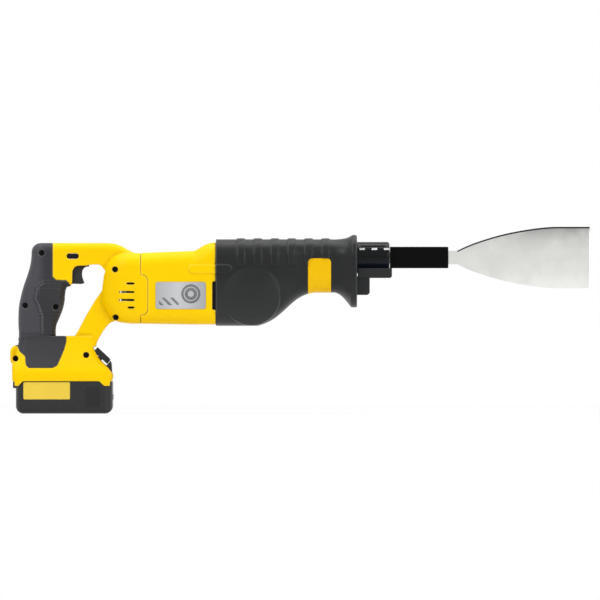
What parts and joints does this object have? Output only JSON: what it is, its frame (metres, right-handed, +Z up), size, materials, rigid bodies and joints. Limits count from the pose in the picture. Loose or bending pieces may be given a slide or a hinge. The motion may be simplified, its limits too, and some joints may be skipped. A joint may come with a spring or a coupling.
{
  "type": "cordless auto glass cut-out tool",
  "caption": "Cordless reciprocating cut-out tool for bonded vehicle glass: D-handle, slide-on battery pack, rubber-booted gear case and a wide flat spatula blade in a twist clamp.",
  "frame": {"origin": "centre of the battery pack's flat base", "axes": "+X forward to the blade's edge, +Y to the tool's left, +Z up"},
  "size_m": [0.6968, 0.091, 0.2238],
  "materials": {
    "yellow_shell": "satin yellow moulded nylon",
    "soft_grip": "dark grey soft grip with a fine grain",
    "boot_rubber": "black moulded rubber with a soft sheen",
    "badge_yellow": "yellow inlay",
    "label_silver": "silver grey printed plate",
    "pack_black": "black textured plastic",
    "button_black": "glossy black plastic",
    "trigger_grey": "dark grey plastic",
    "black_oxide": "black oxide finish",
    "blade_steel": "ground spring steel",
    "screw_steel": "dark plated steel",
    "bearing_steel": "polished steel",
    "motor_steel": "plated steel can",
    "lamination": "stacked laminations",
    "copper": "copper",
    "bronze": "sintered bronze",
    "seal_rubber": "black rubber",
    "cast_alloy": "die-cast alloy",
    "inner_plastic": "black moulded plastic",
    "carbon": "pressed carbon",
    "cell_sleeve": null,
    "lens_green": "green light lens"
  },
  "bodies": {
    "housing": {"handle_shell_right": "yellow_shell", "handle_shell_left": "yellow_shell", "rear_grip_right": "soft_grip", "rear_grip_left": "soft_grip", "housing_screws": "screw_steel", "motor_housing": "yellow_shell", "motor_label_right": "label_silver", "motor_label_left": "label_silver", "motor_can": "motor_steel", "field_magnets": "lamination", "rear_bearing": "bearing_steel", "front_bearing": "bearing_steel", "bearing_plate": "cast_alloy", "brush_plate": "inner_plastic", "carbon_brushes": "carbon", "gear_case_right": "cast_alloy", "gear_case_left": "cast_alloy", "gear_case_screws": "screw_steel", "gear_axle": "bearing_steel", "rear_spindle_bush": "bronze", "front_spindle_bush": "bronze", "spindle_seal": "seal_rubber", "front_boot": "boot_rubber", "boot_badge": "badge_yellow", "shoe_bracket": "black_oxide", "shoe_screws": "screw_steel", "switch_module": "inner_plastic", "terminal_block": "inner_plastic", "terminal_blades": "copper", "air_screens": "inner_plastic"},
    "rotor": {"motor_shaft": "bearing_steel", "armature_core": "lamination", "armature_windings": "copper", "commutator": "copper", "cooling_fan": "inner_plastic", "pinion": "bearing_steel"},
    "drive_gear": {"drive_gear": "bearing_steel", "gear_bush": "bronze", "crank_pin": "bearing_steel", "crank_roller": "bearing_steel"},
    "spindle": {"spindle": "bearing_steel", "yoke": "bearing_steel", "blade_clamp": "bearing_steel", "clamp_pin": "bearing_steel", "blade_holder": "black_oxide", "blade": "blade_steel"},
    "clamp_collar": {"clamp_collar": "black_oxide"},
    "trigger": {"trigger": "trigger_grey"},
    "lock_off_button": {"lock_off_button": "button_black"},
    "battery": {"battery_tub": "pack_black", "battery_top": "pack_black", "battery_plates": "badge_yellow", "battery_contacts": "copper", "battery_cells": "cell_sleeve", "cell_holder": "inner_plastic", "battery_screws": "screw_steel", "gauge_lenses": "lens_green"},
    "release_button": {"release_button": "button_black"},
    "gauge_button": {"gauge_button": "button_black"}
  },
  "joints": [
    {"name": "motor_spin", "type": "hinge", "parent": "housing", "child": "rotor", "pos_m": [0.13, 0, 0.146], "axis": [1, 0, 0], "continuous": true},
    {"name": "gear_spin", "type": "hinge", "parent": "housing", "child": "drive_gear", "pos_m": [0.228, 0.01, 0.146], "axis": [0, 1, 0], "continuous": true},
    {"name": "spindle_slide", "type": "slide", "parent": "housing", "child": "spindle", "axis": [1, 0, 0], "range_m": [-0.0143, 0.0143]},
    {"name": "collar_twist", "type": "hinge", "parent": "spindle", "child": "clamp_collar", "pos_m": [0.37, 0, 0.187], "axis": [1, 0, 0], "range_deg": [0, 60], "stiffness_Nm_per_rad": 0.2, "springref_deg": -5.73},
    {"name": "trigger_pull", "type": "slide", "parent": "housing", "child": "trigger", "axis": [-1, 0, 0], "range_m": [0, 0.006], "stiffness_N_per_m": 900, "springref_m": -0.003},
    {"name": "lock_push", "type": "slide", "parent": "housing", "child": "lock_off_button", "axis": [0, -1, 0], "range_m": [0, 0.0035]},
    {"name": "battery_slide", "type": "slide", "parent": "housing", "child": "battery", "axis": [1, 0, 0], "range_m": [0, 0.115]},
    {"name": "release_press", "type": "slide", "parent": "battery", "child": "release_button", "axis": [-0.6841, 0, -0.7294], "range_m": [0, 0.0025], "stiffness_N_per_m": 900, "springref_m": -0.003},
    {"name": "gauge_press", "type": "slide", "parent": "battery", "child": "gauge_button", "axis": [-1, 0, 0], "range_m": [0, 0.0008], "stiffness_N_per_m": 900, "springref_m": -0.001}
  ],
  "couplings": [
    {"joint": "gear_spin", "follows": "motor_spin", "ratio": 0.2}
  ]
}
